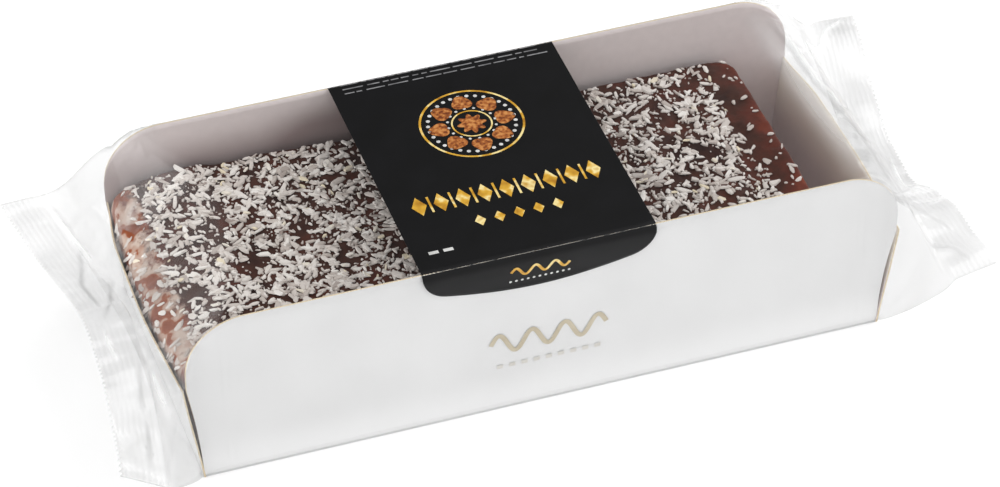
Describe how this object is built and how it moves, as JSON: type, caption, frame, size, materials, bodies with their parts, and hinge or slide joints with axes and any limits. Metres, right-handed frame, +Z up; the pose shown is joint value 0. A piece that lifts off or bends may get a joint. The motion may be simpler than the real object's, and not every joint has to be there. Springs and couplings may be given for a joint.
{
  "type": "packaged chocolate cake",
  "caption": "Loaf-shaped chocolate cake with coconut flakes in an open card tray, wrapped in a clear film bag with crimped ends and a label band over the top.",
  "frame": {"origin": "on the surface that the pack stands on, under the middle of its box", "axes": "+X along the pack from the cake's pushed end to its free end, -Y the front with the short flap of the label, +Z up"},
  "size_m": [0.28, 0.12, 0.0606],
  "materials": {
    "tray": "white coated card, satin",
    "cake": "chocolate icing with pale coconut flakes",
    "film": "clear glossy film",
    "label": "black coated paper with gold bars, satin"
  },
  "bodies": {
    "root": {"tray": "tray", "cake": "cake", "film": "film", "label": "label"}
  },
  "joints": []
}
